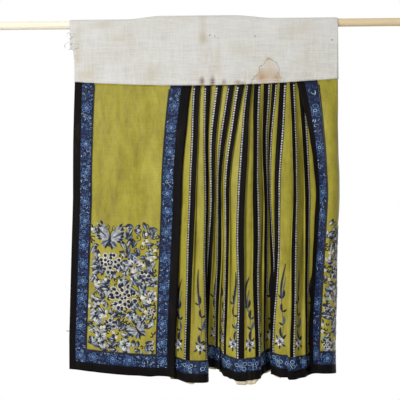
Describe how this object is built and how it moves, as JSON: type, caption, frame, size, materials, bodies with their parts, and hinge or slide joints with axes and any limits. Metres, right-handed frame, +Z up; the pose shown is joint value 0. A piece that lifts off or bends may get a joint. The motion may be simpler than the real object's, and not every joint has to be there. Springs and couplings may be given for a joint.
{
  "type": "embroidered skirt on a hanging rod",
  "caption": "Pleated silk wrap skirt with a cotton waistband, bordered panels and gores, folded in half over a plain wooden rod.",
  "frame": {"origin": "on the rod's axis, halfway along it, where the rod is held", "axes": "+X along the rod to the skirt's folded edge, -Y towards the viewer, +Z up"},
  "size_m": [1.06, 0.1278, 0.9122],
  "materials": {
    "wood": "plain, unvarnished",
    "cotton": "plain weave",
    "silk": "soft sheen",
    "blue_border": "woven pattern",
    "black_satin": "satin",
    "lining": "plain weave"
  },
  "bodies": {
    "root": {"rod": "wood", "waistband": "cotton", "loop_upper": "cotton", "loop_lower": "cotton", "front_panel": "silk", "front_panel_blue": "blue_border", "front_panel_black": "black_satin", "side_panel": "silk", "side_panel_blue": "blue_border", "side_panel_black": "black_satin", "underlap": "silk", "underlap_black": "black_satin", "front_gore_00_upper": "silk", "front_gore_00_lower": "silk", "front_gore_01": "silk", "front_gore_02": "silk", "front_gore_03": "silk", "front_gore_04": "silk", "front_gore_05": "silk", "front_gore_06": "silk", "front_gore_07": "silk", "front_gore_08": "silk", "front_gore_09": "silk", "front_gore_10": "silk", "front_gore_11": "silk", "front_gore_12": "silk", "front_strip_01": "black_satin", "front_strip_02": "black_satin", "front_strip_03": "black_satin", "front_strip_04": "black_satin", "front_strip_05": "black_satin", "front_strip_06": "black_satin", "front_strip_07": "black_satin", "front_strip_08": "black_satin", "front_strip_09": "black_satin", "front_strip_10": "black_satin", "front_strip_11": "black_satin", "front_strip_12": "black_satin", "front_hem_blue": "blue_border", "front_hem_black": "black_satin", "front_hem_lining": "lining", "back_gores_1": "silk", "back_gores_2": "silk", "back_gores_3": "silk", "back_gores_4": "silk", "back_gores_5": "silk", "back_strip_01": "black_satin", "back_strip_02": "black_satin", "back_strip_03": "black_satin", "back_strip_04": "black_satin", "back_strip_05": "black_satin", "back_strip_06": "black_satin", "back_strip_07": "black_satin", "back_strip_08": "black_satin", "back_strip_09": "black_satin", "back_strip_10": "black_satin", "back_strip_11": "black_satin", "back_strip_12": "black_satin", "back_hem_blue": "blue_border", "back_hem_black": "black_satin"}
  },
  "joints": []
}
